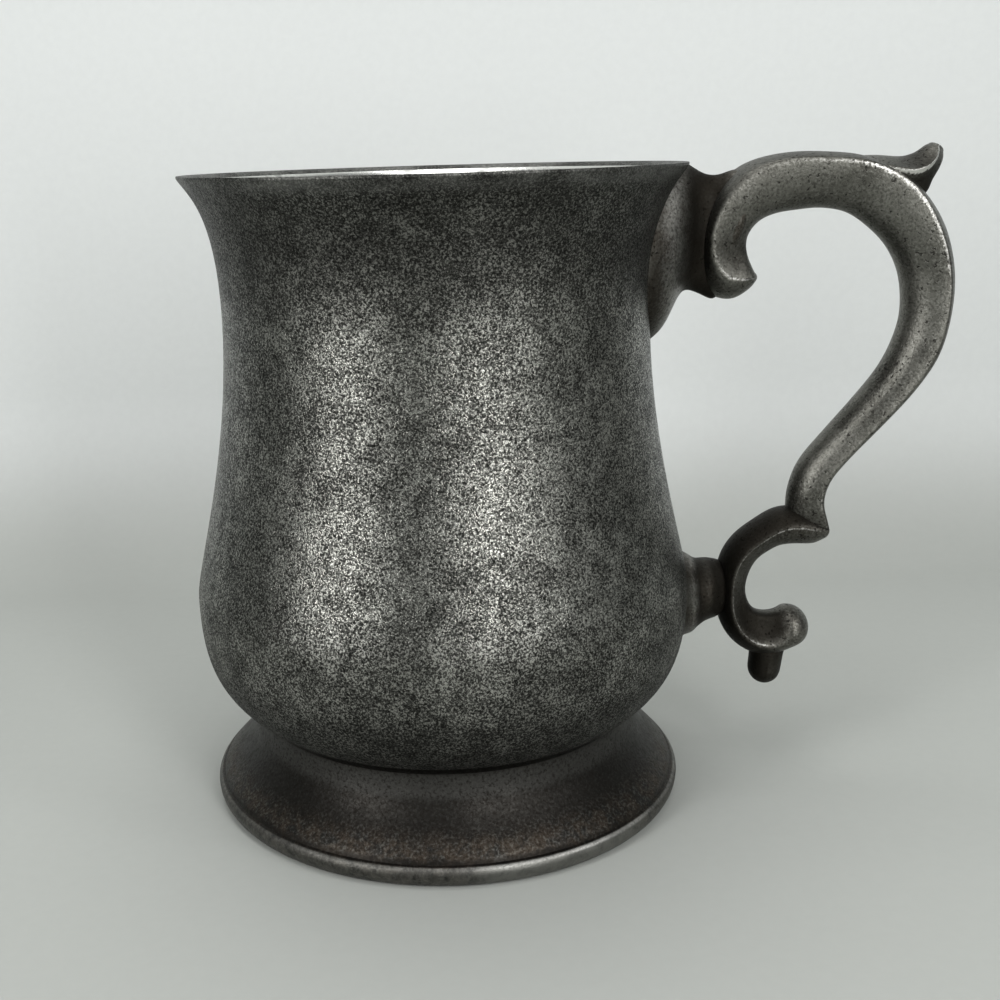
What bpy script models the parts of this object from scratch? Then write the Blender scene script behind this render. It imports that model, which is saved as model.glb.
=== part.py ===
"""Bell-shaped metal tankard on a spread foot, with a double scroll handle.

The cup is a turned wall with an out-turned lip. A floor disc lies in its lower
opening, and both stand on a hollow turned foot. The handle is one upper S
scroll with a curled end and a thumb spur, butted on a lower C scroll with a
hanging tail. Two cast lugs carry the scrolls on the cup's wall.

Sizes are in millimetres and become metres when a mesh is made. The cup's axis
is X = Y = 0 while the pieces are shaped, the table is Z = 0 and the handle
points along +X. One empty then moves the whole tankard sideways, so that the
middle of its bounding box stands over the world's origin.
"""

import math

import bpy
import bmesh
from mathutils import Vector

# Fit between pieces, and how far a cutter reaches past what it cuts
CLEARANCE = 0.3
CUTTER_MARGIN = 12.0

# Cup
TOTAL_HEIGHT = 118.0
LIP_RADIUS = 45.4
LIP_ROUNDING = 0.7
LIP_FLAT = 1.17
THROAT_RADIUS = 39.1
THROAT_DROP = 25.0
BELLY_RADIUS = 47.0
BELLY_HEIGHT = 40.7
CUP_WALL = 2.2

# Curves of the cup's side: each end's pull, as a share of its span's height or width
LIP_PULL = Vector((0.27, 0.45))
THROAT_PULL_UP = 0.76
THROAT_PULL_DOWN = 0.476
BELLY_PULL_UP = 0.095
BELLY_PULL_DOWN = 0.5
SEAM_PULL = Vector((0.82, 0.245))

# Seam between cup, floor and foot
SEAM_RADIUS = 38.9
SEAM_HEIGHT = 19.1
FLANGE_WIDTH = 4.4
FLANGE_THICKNESS = 2.8
FLANGE_FILLET = 1.1
FLOOR_THICKNESS = 2.4
FLOOR_CHAMFER = 0.4

# Foot: the shoulder and the neck are set in from the seam, the edge's rounding
# and the contact ring from the foot's own radius
SHOULDER_INSET = 1.0
NECK_INSET = 2.0
NECK_DROP = 1.6
FOOT_RADIUS = 45.7
FOOT_EDGE_HEIGHT = 3.8
FOOT_EDGE_ROUNDING = 0.7
FOOT_HEEL_ROUNDING = 0.2
CONTACT_INSET = 1.6
CONTACT_WIDTH = 1.4
FOOT_WALL = 2.2
LEDGE_THICKNESS = 3.0
LEDGE_WIDTH = 3.0

# The foot's edge: heights of its widest line and its heel, as shares of the edge
BULGE_LEVEL = 0.68
HEEL_LEVEL = 0.3

# Curve of the foot's slope: each end's pull, as a share of the slope
NECK_PULL = 0.55
EDGE_PULL = Vector((0.35, 0.3))

# Handle's places on the cup
UPPER_LUG_DROP = 16.0
UPPER_LUG_LENGTH = 9.5
LOWER_LUG_HEIGHT = 37.0
LOWER_LUG_LENGTH = 6.3

# How far the lugs reach into the cup's wall and the scrolls before they are cut
UPPER_LUG_SINK = 3.0
UPPER_LUG_BITE = 4.1
LOWER_LUG_SINK = 2.0
LOWER_LUG_BITE = 1.2

# Handle's sections: how far the back stands proud of the two side ridges
UPPER_CROWN = 2.2
LOWER_CROWN = 3.0
SPUR_CROWN = 1.0
TAIL_CROWN = 1.0

# Handle's rounded ends
CURL_END = 1.0
SPUR_END = 0.8
LOWER_TIP_END = 0.6
BULB_END = 3.8
TAIL_END = 3.2

# Facets
TURN_STEPS = 48
SPAN_STEPS = 3
DOME_STEPS = 3
LUG_SIDES = 16
CREASE_ANGLE = 35.0

# Scrolls: each station has a point on the back, a point on the inner side and
# the width across the handle. Points are (out, up) from a seat.

# Upper scroll from the tip of its curl, measured from the upper seat, which is
# the back of the curl
UPPER_STATIONS = (
    ((10.5, -5.8), (10.0, -4.6), 3.5),
    ((8.6, -7.1), (9.1, -2.6), 7.0),
    ((5.6, -8.4), (8.5, -0.8), 10.0),
    ((2.0, -7.6), (8.3, 0.6), 11.0),
    ((-0.1, -4.0), (8.3, 1.8), 11.5),
    ((-0.4, 1.0), (8.5, 3.0), 12.0),
    ((0.6, 6.6), (9.3, 4.5), 12.3),
    ((3.2, 11.4), (10.9, 5.9), 12.5),
    ((8.0, 15.3), (13.6, 6.7), 12.5),
    ((14.6, 17.1), (16.8, 7.0), 12.5),
    ((22.1, 17.1), (21.3, 7.1), 12.5),
    ((29.2, 16.0), (26.0, 6.1), 12.8),
    ((36.8, 11.9), (30.3, 3.2), 13.0),
    ((42.6, 5.2), (33.9, -0.5), 12.8),
    ((45.6, -2.6), (36.3, -5.4), 12.5),
    ((46.2, -10.8), (37.1, -11.5), 12.0),
    ((44.6, -19.4), (36.3, -16.4), 11.6),
)

# The rest of the upper scroll, measured from the lower seat, which is the back
# of the lower scroll
MIDDLE_STATIONS = (
    ((36.0, 38.6), (29.5, 43.0), 11.2),
    ((30.0, 31.6), (24.8, 36.7), 10.8),
    ((24.9, 26.0), (19.7, 30.7), 10.4),
    ((21.1, 21.3), (15.2, 25.1), 10.0),
    ((20.0, 17.4), (13.2, 19.8), 9.8),
)

# Butt seam at the knuckle: its outer and inner ends, from the lower seat
KNUCKLE_BACK = Vector((21.0, 12.4))
KNUCKLE_INNER = Vector((12.6, 16.8))
KNUCKLE_WIDTH = 9.6
KNUCKLE_TRIM = 3.0

# Lower scroll from its tip at the knuckle, measured from the lower seat
LOWER_STATIONS = (
    ((20.6, 12.2), (20.0, 9.9), 6.0),
    ((18.3, 14.2), (18.1, 8.8), 9.0),
    ((15.0, 16.0), (14.7, 9.0), 10.0),
    ((11.3, 15.9), (12.0, 8.7), 10.4),
    ((7.2, 14.0), (9.7, 7.6), 10.4),
    ((3.3, 10.9), (7.8, 6.1), 10.4),
    ((0.8, 6.6), (6.5, 3.8), 10.4),
    ((0.0, 0.4), (5.8, 0.4), 10.2),
    ((0.8, -5.6), (6.6, -2.7), 10.0),
    ((3.3, -10.0), (8.0, -4.4), 9.8),
    ((7.3, -12.9), (10.0, -4.9), 9.6),
    ((12.0, -13.4), (12.1, -4.6), 9.4),
    ((16.1, -12.2), (13.5, -3.8), 9.0),
)

# Thumb spur, with its ridge below, measured from the upper seat
SPUR_STATIONS = (
    ((25.5, 8.0), (26.9, 16.0), 8.0),
    ((31.5, 7.8), (31.0, 16.2), 10.0),
    ((36.8, 8.0), (34.4, 15.8), 11.5),
    ((39.6, 11.0), (36.8, 16.1), 11.0),
    ((41.2, 13.7), (39.0, 17.2), 9.5),
    ((41.8, 15.6), (40.6, 17.8), 6.5),
)

# Tail under the lower scroll, measured from the lower seat
TAIL_STATIONS = (
    ((7.4, -8.5), (13.9, -8.5), 7.6),
    ((7.3, -13.0), (13.9, -13.0), 7.6),
    ((7.2, -17.0), (13.5, -17.0), 7.2),
)

# Upper lug, in even steps from inside the cup's wall to inside the scroll: top and
# bottom heights from the upper seat, and half the width
UPPER_LUG_SECTIONS = (
    (15.7, -14.9, 12.9),
    (15.7, -14.7, 12.7),
    (15.7, -14.4, 12.5),
    (15.7, -12.7, 11.7),
    (15.7, -10.1, 9.9),
    (15.6, -7.8, 7.8),
    (15.2, -6.9, 6.4),
    (14.5, -7.2, 5.5),
    (13.9, -7.7, 4.8),
    (13.6, -7.7, 4.2),
    (13.4, -6.5, 3.2),
)

# Lower lug, in even steps from inside the cup's wall to inside the scroll: middle
# height from the lower seat, half the height and half the width
LOWER_LUG_SECTIONS = (
    (-0.3, 7.5, 10.2),
    (-0.3, 7.4, 10.1),
    (-0.3, 7.3, 10.0),
    (-0.5, 7.1, 9.1),
    (-0.5, 6.4, 7.8),
    (-0.3, 5.9, 7.1),
    (-0.2, 5.8, 7.1),
    (-0.1, 5.6, 6.8),
    (0.0, 5.1, 5.7),
    (0.0, 4.6, 4.4),
)

UPPER_SEAT = Vector((THROAT_RADIUS + UPPER_LUG_LENGTH, TOTAL_HEIGHT - UPPER_LUG_DROP))


def metres(point):
    """A point in millimetres as the metres that a mesh holds."""
    return [value * 0.001 for value in point]


def up(height):
    """A step straight up in an outline's plane."""
    return Vector((0.0, height))


def bezier(start, start_handle, end_handle, end, steps):
    """Points of a cubic curve from start to end, both included."""
    points = []
    for step in range(steps + 1):
        t = step / steps
        u = 1.0 - t
        points.append(start * u ** 3 + start_handle * 3 * u * u * t
                      + end_handle * 3 * u * t * t + end * t ** 3)
    return points


def offset_line(points, distance):
    """An open outline moved sideways, to the right of its own direction."""
    moved = []
    for index, point in enumerate(points):
        before = points[max(index - 1, 0)]
        after = points[min(index + 1, len(points) - 1)]
        along = (after - before).normalized()
        moved.append(point + Vector((along.y, -along.x)) * distance)
    return moved


def cup_outline():
    """The cup's outer side from the lip down to the seam, as (radius, height)."""
    lip = Vector((LIP_RADIUS, TOTAL_HEIGHT - LIP_ROUNDING))
    throat = Vector((THROAT_RADIUS, TOTAL_HEIGHT - THROAT_DROP))
    belly = Vector((BELLY_RADIUS, BELLY_HEIGHT))
    seam = Vector((SEAM_RADIUS, SEAM_HEIGHT))
    flare = LIP_PULL * (lip.x - throat.x)
    waist = throat.y - belly.y
    undercut = belly - seam
    side = bezier(lip, lip - flare, throat + up(THROAT_DROP * THROAT_PULL_UP), throat, 6)
    side += bezier(throat, throat - up(waist * THROAT_PULL_DOWN),
                   belly + up(waist * BELLY_PULL_UP), belly, 6)[1:]
    side += bezier(belly, belly - up(undercut.y * BELLY_PULL_DOWN), seam + undercut * SEAM_PULL, seam, 5)[1:]
    return side


def wall_radius(height):
    """The cup's outer radius at a height."""
    outline = cup_outline()
    for upper, lower in zip(outline, outline[1:]):
        if lower.y <= height <= upper.y:
            share = (height - lower.y) / (upper.y - lower.y)
            return lower.x + (upper.x - lower.x) * share
    return SEAM_RADIUS


LOWER_SEAT = Vector((wall_radius(LOWER_LUG_HEIGHT) + LOWER_LUG_LENGTH, LOWER_LUG_HEIGHT))


def pewter(name, colour, roughness):
    """A metal material with its own colour and roughness."""
    material = bpy.data.materials.new(name)
    material.use_nodes = True
    shader = material.node_tree.nodes["Principled BSDF"]
    shader.inputs["Base Color"].default_value = (*colour, 1.0)
    shader.inputs["Roughness"].default_value = roughness
    shader.inputs["Metallic"].default_value = 1.0
    return material


def add_object(name, mesh, parent, material):
    """Link a mesh as a named, smooth-shaded sub-part of the tankard."""
    piece = bpy.data.objects.new(name, mesh)
    bpy.context.scene.collection.objects.link(piece)
    piece.parent = parent
    if material:
        mesh.materials.append(material)
    mesh.shade_smooth()
    mesh.set_sharp_from_angle(angle=math.radians(CREASE_ANGLE))
    return piece


def turned(name, outline, parent, material=None):
    """A closed outline turned about the cup's axis.

    The outline is a list of (radius, height) that runs down its outer side.
    Where it starts and ends on the axis it is left open, and the turn closes it.
    """
    mesh = bpy.data.meshes.new(name)
    on_axis = outline[0][0] == 0.0 and outline[-1][0] == 0.0
    count = len(outline)
    edges = [(index, index + 1) for index in range(count - 1)]
    if not on_axis:
        edges.append((count - 1, 0))
    mesh.from_pydata([metres((radius, 0.0, height)) for radius, height in outline], edges, [])
    piece = add_object(name, mesh, parent, material)
    screw = piece.modifiers.new("turn", "SCREW")
    screw.axis = "Z"
    screw.angle = math.tau
    screw.steps = TURN_STEPS
    screw.render_steps = TURN_STEPS
    screw.use_merge_vertices = True
    screw.merge_threshold = 0.00001
    screw.use_smooth_shade = True
    return piece


def skinned(name, rings, parent, material=None):
    """A solid through rings of points, each with the same count, closed at both ends."""
    builder = bmesh.new()
    loops = [[builder.verts.new(metres(point)) for point in ring] for ring in rings]
    for near, far in zip(loops, loops[1:]):
        for index in range(len(near)):
            other = (index + 1) % len(near)
            builder.faces.new((near[index], near[other], far[other], far[index]))
    builder.faces.new(loops[0])
    builder.faces.new(list(reversed(loops[-1])))
    bmesh.ops.recalc_face_normals(builder, faces=builder.faces)
    mesh = bpy.data.meshes.new(name)
    builder.to_mesh(mesh)
    builder.free()
    return add_object(name, mesh, parent, material)


def cut(piece, cutter):
    """Take a cutter's shape out of a piece and keep the cutter out of sight."""
    cutter.hide_render = True
    cutter.display_type = "WIRE"
    boolean = piece.modifiers.new("seat on " + cutter.name, "BOOLEAN")
    boolean.operation = "DIFFERENCE"
    boolean.solver = "EXACT"
    boolean.object = cutter


def placed(stations, seat):
    """Stations measured from a seat, as (back x, back z, inner x, inner z, width)."""
    return [(seat.x + back[0], seat.y + back[1], seat.x + inner[0], seat.y + inner[1], width)
            for back, inner, width in stations]


def smooth_path(stations):
    """A smooth run of stations through the given ones, evenly split in each span."""
    points = [Vector(station) for station in stations]
    points = [points[0] * 2 - points[1]] + points + [points[-1] * 2 - points[-2]]
    path = []
    for before, start, end, after in zip(points, points[1:], points[2:], points[3:]):
        near = (start - before).length ** 0.5
        span = (end - start).length ** 0.5
        far = (after - end).length ** 0.5
        leave = ((start - before) / near - (end - before) / (near + span) + (end - start) / span) * span
        arrive = ((end - start) / span - (after - start) / (span + far) + (after - end) / far) * span
        for step in range(SPAN_STEPS):
            t = step / SPAN_STEPS
            path.append(start * (2 * t ** 3 - 3 * t * t + 1) + leave * (t ** 3 - 2 * t * t + t)
                        + end * (3 * t * t - 2 * t ** 3) + arrive * (t ** 3 - t * t))
    path.append(points[-2].copy())
    return path


def scroll_section(back, inner, width, crown):
    """One ring of a scroll: a low crown over the two side ridges and a round inner side.

    back and inner are the ring's outermost and innermost points, as (x, z).
    """
    centre = (back + inner) / 2
    outward = (back - inner).normalized()
    half_depth = (back - inner).length / 2
    crown = min(crown, half_depth * 0.9)
    ridge = half_depth - crown
    profile = []
    for share in (-1.0, -0.5, 0.0, 0.5, 1.0):
        profile.append((ridge + crown * (1 - share * share), share * width / 2))
    for degrees in range(20, 161, 20):
        turn = math.radians(degrees)
        profile.append((ridge - (half_depth + ridge) * math.sin(turn), width / 2 * math.cos(turn)))
    return [Vector((centre.x + outward.x * out, side, centre.y + outward.y * out)) for out, side in profile]


def dome(back, inner, width, crown, height):
    """Shrinking rings that round off the end of a scroll, on the side that height's sign gives."""
    centre = (back + inner) / 2
    half = (back - inner) / 2
    along = Vector((half.y, -half.x)).normalized()
    rings = []
    for step in range(1, DOME_STEPS + 1):
        turn = math.radians(80.0 * step / DOME_STEPS)
        middle = centre + along * height * math.sin(turn)
        reach = half * math.cos(turn)
        share = math.cos(turn)
        rings.append(scroll_section(middle + reach, middle - reach, width * share, crown * share))
    return rings


def scroll_rings(stations, crown, growth=0.0, start_dome=0.0, end_dome=0.0):
    """Rings of a scroll along its stations, with domed ends and growth all round."""
    rings = []
    path = smooth_path(stations)
    for index, (back_x, back_z, inner_x, inner_z, width) in enumerate(path):
        back = Vector((back_x, back_z))
        inner = Vector((inner_x, inner_z))
        grow = (back - inner).normalized() * growth
        back += grow
        inner -= grow
        width += 2 * growth
        rings.append(scroll_section(back, inner, width, crown))
        if index == 0 and start_dome:
            rings = dome(back, inner, width, crown, start_dome)[::-1] + rings
        if index == len(path) - 1 and end_dome:
            rings += dome(back, inner, width, crown, end_dome)
    return rings


def lug_section(distance, middle, half_height, half_width):
    """An upright rounded ring across a lug, at a distance from the cup's axis."""
    ring = []
    for index in range(LUG_SIDES):
        turn = math.tau * index / LUG_SIDES
        side = math.copysign(abs(math.cos(turn)) ** 0.8, math.cos(turn))
        rise = math.copysign(abs(math.sin(turn)) ** 0.8, math.sin(turn))
        ring.append(Vector((distance, side * half_width, middle + rise * half_height)))
    return ring


def make_cup(tankard, material):
    """The bell-shaped wall, with its lip above and a turned-in flange below."""
    outer = cup_outline()
    flange_top = SEAM_HEIGHT + FLANGE_THICKNESS
    flange_radius = SEAM_RADIUS - FLANGE_WIDTH
    inner = [point for point in offset_line(outer, CUP_WALL)[1:] if point.y > flange_top + FLANGE_FILLET]
    top = Vector((LIP_RADIUS - LIP_ROUNDING, TOTAL_HEIGHT))
    outline = [top - Vector((LIP_FLAT, 0.0)), top] + outer
    outline.append(Vector((flange_radius, SEAM_HEIGHT)))
    outline.append(Vector((flange_radius, flange_top)))
    outline.append(Vector((inner[-1].x - FLANGE_FILLET, flange_top)))
    outline += reversed(inner)
    turned("cup_body", outline, tankard, material)


def make_floor(tankard, material):
    """The disc that lies inside the flange and closes the cup."""
    radius = SEAM_RADIUS - FLANGE_WIDTH - CLEARANCE
    top = SEAM_HEIGHT + FLOOR_THICKNESS
    outline = [(0.0, top), (radius - FLOOR_CHAMFER, top), (radius, top - FLOOR_CHAMFER)]
    outline += [(radius, SEAM_HEIGHT), (0.0, SEAM_HEIGHT)]
    turned("cup_floor", outline, tankard, material)


def make_foot(tankard, material):
    """The hollow spread foot: ledge, hollow neck, broad slope and rounded edge."""
    top = SEAM_HEIGHT - CLEARANCE
    neck = Vector((SEAM_RADIUS - NECK_INSET, top - NECK_DROP))
    edge = Vector((FOOT_RADIUS - FOOT_EDGE_ROUNDING, FOOT_EDGE_HEIGHT))
    fall = neck.y - edge.y
    flare = Vector((neck.x - edge.x, fall)) * EDGE_PULL
    slope = bezier(neck, neck - up(fall * NECK_PULL), edge + flare, edge, 7)
    inside = [point for point in offset_line(slope, FOOT_WALL) if point.y < top - LEDGE_THICKNESS]
    contact = FOOT_RADIUS - CONTACT_INSET
    ledge = SEAM_RADIUS - FLANGE_WIDTH - LEDGE_WIDTH
    outline = [Vector((SEAM_RADIUS - SHOULDER_INSET, top))] + slope
    outline.append(Vector((FOOT_RADIUS, FOOT_EDGE_HEIGHT * BULGE_LEVEL)))
    outline.append(Vector((FOOT_RADIUS - FOOT_HEEL_ROUNDING, FOOT_EDGE_HEIGHT * HEEL_LEVEL)))
    outline.append(Vector((contact, 0.0)))
    outline.append(Vector((contact - CONTACT_WIDTH, 0.0)))
    outline += reversed(inside[:-1])
    outline.append(Vector((ledge, top - LEDGE_THICKNESS)))
    outline.append(Vector((ledge, top)))
    turned("foot_ring", outline, tankard, material)


def cup_cutter(tankard):
    """The cup's outside grown by the clearance, which seats the lugs."""
    outline = offset_line(cup_outline(), -CLEARANCE)
    above = Vector((outline[0].x, TOTAL_HEIGHT + CUTTER_MARGIN))
    outline = [Vector((0.0, above.y)), above] + outline + [Vector((0.0, outline[-1].y))]
    return turned("cup_seat_cutter", outline, tankard)


def upper_scroll_stations():
    """All stations of the upper scroll, from its curl to just above the knuckle."""
    return placed(UPPER_STATIONS, UPPER_SEAT) + placed(MIDDLE_STATIONS, LOWER_SEAT)


def knuckle():
    """Outer and inner end of the butt seam, and its upper normal."""
    back = LOWER_SEAT + KNUCKLE_BACK
    inner = LOWER_SEAT + KNUCKLE_INNER
    along = (back - inner).normalized()
    return back, inner, Vector((-along.y, along.x))


def make_upper_scroll(tankard, material):
    """The S scroll, from the curl at the upper lug to the seam at the knuckle."""
    rings = scroll_rings(upper_scroll_stations(), UPPER_CROWN, start_dome=CURL_END)
    back, inner, upward = knuckle()
    lift = upward * CLEARANCE / 2
    rings.append(scroll_section(back + lift, inner + lift, KNUCKLE_WIDTH, UPPER_CROWN))
    return skinned("handle_scroll", rings, tankard, material)


def upper_scroll_cutter(tankard):
    """The curl grown by the clearance, which seats the upper lug and the spur."""
    rings = scroll_rings(upper_scroll_stations(), UPPER_CROWN, CLEARANCE, start_dome=CURL_END)
    return skinned("scroll_seat_cutter", rings, tankard)


def lower_scroll_rings(growth=0.0):
    """Rings of the C scroll, from its tip at the knuckle to its round end."""
    stations = placed(LOWER_STATIONS, LOWER_SEAT)
    return scroll_rings(stations, LOWER_CROWN, growth, start_dome=LOWER_TIP_END, end_dome=-BULB_END - growth)


def knuckle_cutter(tankard):
    """A block above the butt seam, which trims the C scroll flat there."""
    back, inner, upward = knuckle()
    along = (back - inner).normalized()
    rings = []
    for lift in (-CLEARANCE / 2, CUTTER_MARGIN):
        near = inner - along * KNUCKLE_TRIM + upward * lift
        far = back + along * CUTTER_MARGIN + upward * lift
        rings.append([Vector((near.x, -CUTTER_MARGIN, near.y)), Vector((near.x, CUTTER_MARGIN, near.y)),
                      Vector((far.x, CUTTER_MARGIN, far.y)), Vector((far.x, -CUTTER_MARGIN, far.y))])
    return skinned("knuckle_cutter", rings, tankard)


def lug_steps(sections, wall, length, sink, bite):
    """Even distances from the cup's axis, from sink inside a wall to bite past a lug's length."""
    step = (sink + length + bite) / (len(sections) - 1)
    return [wall - sink + step * index for index in range(len(sections))]


def make_lugs(tankard, material, cup_seat, upper_seat, lower_seat):
    """The two cast lugs, each cut to the cup's wall and to its scroll's back."""
    rings = []
    places = lug_steps(UPPER_LUG_SECTIONS, THROAT_RADIUS, UPPER_LUG_LENGTH, UPPER_LUG_SINK, UPPER_LUG_BITE)
    for distance, (top, bottom, half_width) in zip(places, UPPER_LUG_SECTIONS):
        height = UPPER_SEAT.y + (top + bottom) / 2
        rings.append(lug_section(distance, height, (top - bottom) / 2, half_width))
    upper = skinned("upper_lug", rings, tankard, material)
    cut(upper, cup_seat)
    cut(upper, upper_seat)
    rings = []
    wall = wall_radius(LOWER_LUG_HEIGHT)
    places = lug_steps(LOWER_LUG_SECTIONS, wall, LOWER_LUG_LENGTH, LOWER_LUG_SINK, LOWER_LUG_BITE)
    for distance, (rise, half_height, half_width) in zip(places, LOWER_LUG_SECTIONS):
        rings.append(lug_section(distance, LOWER_SEAT.y + rise, half_height, half_width))
    lower = skinned("lower_lug", rings, tankard, material)
    cut(lower, cup_seat)
    cut(lower, lower_seat)


def make_spur(tankard, material, upper_seat):
    """The thumb spur that flicks up from the handle's back."""
    stations = placed(SPUR_STATIONS, UPPER_SEAT)
    rings = scroll_rings(stations, SPUR_CROWN, end_dome=-SPUR_END)
    cut(skinned("thumb_spur", rings, tankard, material), upper_seat)


def make_tail(tankard, material, lower_seat):
    """The short round-ended tail that hangs from the C scroll."""
    stations = placed(TAIL_STATIONS, LOWER_SEAT)
    rings = scroll_rings(stations, TAIL_CROWN, end_dome=-TAIL_END)
    cut(skinned("scroll_tail", rings, tankard, material), lower_seat)


def main():
    for leftover in list(bpy.data.objects):
        bpy.data.objects.remove(leftover, do_unlink=True)
    tankard = bpy.data.objects.new("tankard", None)
    bpy.context.scene.collection.objects.link(tankard)

    speckled = pewter("speckled_pewter", (0.16, 0.16, 0.15), 0.55)
    foot_metal = pewter("foot_pewter", (0.11, 0.10, 0.09), 0.45)
    handle_metal = pewter("handle_pewter", (0.17, 0.17, 0.16), 0.42)

    make_cup(tankard, speckled)
    make_floor(tankard, speckled)
    make_foot(tankard, foot_metal)
    scroll = make_upper_scroll(tankard, handle_metal)
    lower = skinned("lower_scroll", lower_scroll_rings(), tankard, handle_metal)
    cut(lower, knuckle_cutter(tankard))

    cup_seat = cup_cutter(tankard)
    upper_seat = upper_scroll_cutter(tankard)
    lower_seat = skinned("lower_seat_cutter", lower_scroll_rings(CLEARANCE), tankard)
    make_lugs(tankard, foot_metal, cup_seat, upper_seat, lower_seat)
    make_spur(tankard, handle_metal, upper_seat)
    make_tail(tankard, handle_metal, lower_seat)

    handle_reach = max(vertex.co.x for vertex in scroll.data.vertices)
    cup_reach = max(LIP_RADIUS, BELLY_RADIUS, FOOT_RADIUS) * 0.001
    tankard.location.x = (cup_reach - handle_reach) / 2


if __name__ == "__main__":
    main()
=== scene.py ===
"""Looks of an aged pewter tankard, laid out as a Blender add-on and run as a script.

Each operator models one piece, or one group of like pieces, with Blender's edit
tools and gives it a procedural finish. Sizes are in millimetres until a mesh is
made. The cup's axis stands at X = AXIS_X, and the handle points along +X.
"""

import math

import bmesh
import bpy
from bpy.props import FloatProperty, FloatVectorProperty, PointerProperty
from mathutils import Matrix, Vector


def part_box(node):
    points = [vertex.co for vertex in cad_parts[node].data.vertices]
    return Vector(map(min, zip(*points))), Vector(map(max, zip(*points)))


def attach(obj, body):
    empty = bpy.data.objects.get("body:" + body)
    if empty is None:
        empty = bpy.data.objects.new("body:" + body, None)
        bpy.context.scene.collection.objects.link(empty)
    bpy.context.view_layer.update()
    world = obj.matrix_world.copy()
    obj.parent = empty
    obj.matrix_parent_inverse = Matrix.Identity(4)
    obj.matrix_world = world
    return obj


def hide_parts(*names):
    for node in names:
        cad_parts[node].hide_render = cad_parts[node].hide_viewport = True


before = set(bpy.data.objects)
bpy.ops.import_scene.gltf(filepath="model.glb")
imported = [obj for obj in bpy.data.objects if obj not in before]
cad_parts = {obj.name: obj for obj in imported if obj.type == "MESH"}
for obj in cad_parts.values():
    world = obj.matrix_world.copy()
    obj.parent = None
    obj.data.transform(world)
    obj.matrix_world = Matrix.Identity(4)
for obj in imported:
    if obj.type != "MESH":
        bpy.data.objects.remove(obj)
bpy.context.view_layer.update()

bl_info = {
    "name": "Aged Pewter Tankard",
    "version": (1, 0, 0),
    "blender": (4, 5, 0),
    "location": "View3D > Sidebar > Tankard",
    "description": "Models a bell-shaped pewter tankard with a scrolled handle",
    "category": "Object",
}

MM = 0.001
CLOSE = 0.00001
CUP_LOW, CUP_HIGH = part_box("cup_body")
FOOT_LOW, FOOT_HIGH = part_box("foot_ring")
AXIS_X = (CUP_LOW.x + CUP_HIGH.x) / 2

# Cup, in millimetres
RIM_HEIGHT = CUP_HIGH.z / MM
LIP_RADIUS = 45.4
LIP_ROUNDING = 0.35
LIP_FLAT = 1.17
THROAT_RADIUS = 39.1
THROAT_DROP = 25.0
BELLY_RADIUS = (CUP_HIGH.x - CUP_LOW.x) / 2 / MM
BELLY_HEIGHT = 40.7
CUP_WALL = 2.2
SEAM_RADIUS = 38.9
SEAM_HEIGHT = CUP_LOW.z / MM
FLOOR_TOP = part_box("cup_floor")[1].z / MM
FLANGE_RADIUS = 34.5
DISC_HOLE = 0.4

# Handles of the cup's curves, as shares of each curve's reach
LIP_FLARE = Vector((0.27, 0.45))
THROAT_PULL = 0.76
WAIST_PULL = 0.476
SWELL_PULL = 0.095
BELLY_PULL = 0.5
SEAM_PULL = Vector((0.82, 0.245))

# Inside: how far from the rim and the floor it starts to bend, and the gap over
# the floor disc, in millimetres
INNER_LIP_DROP = 1.2
INNER_FLOOR_RISE = 1.5
FLOOR_GAP = 0.4

# Foot, in millimetres
FOOT_TOP = FOOT_HIGH.z / MM
FOOT_RADIUS = (FOOT_HIGH.x - FOOT_LOW.x) / 2 / MM
FOOT_EDGE_HEIGHT = 3.8
FOOT_WALL = 2.2
LEDGE_RADIUS = 31.5

# Handle: seats on the cup, and stations from a seat. Each is ((out, up) of the
# back, (out, up) of the inner side, width across, height of the back's crown over
# the ridges, power of the crown's curve, wear of the ridges, hollow of the inner
# half's sides, painted shade of the back). Wear, hollow and painted shade go up
# from 0; wear over 1 is for places worn all over, painted shade over 1 for places
# shaded all over
UPPER_LUG_LENGTH = 9.5
LOWER_LUG_LENGTH = 6.3
LOWER_LUG_HEIGHT = 37.0
UPPER_SEAT = Vector((THROAT_RADIUS + UPPER_LUG_LENGTH, RIM_HEIGHT - 16.0))

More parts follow.
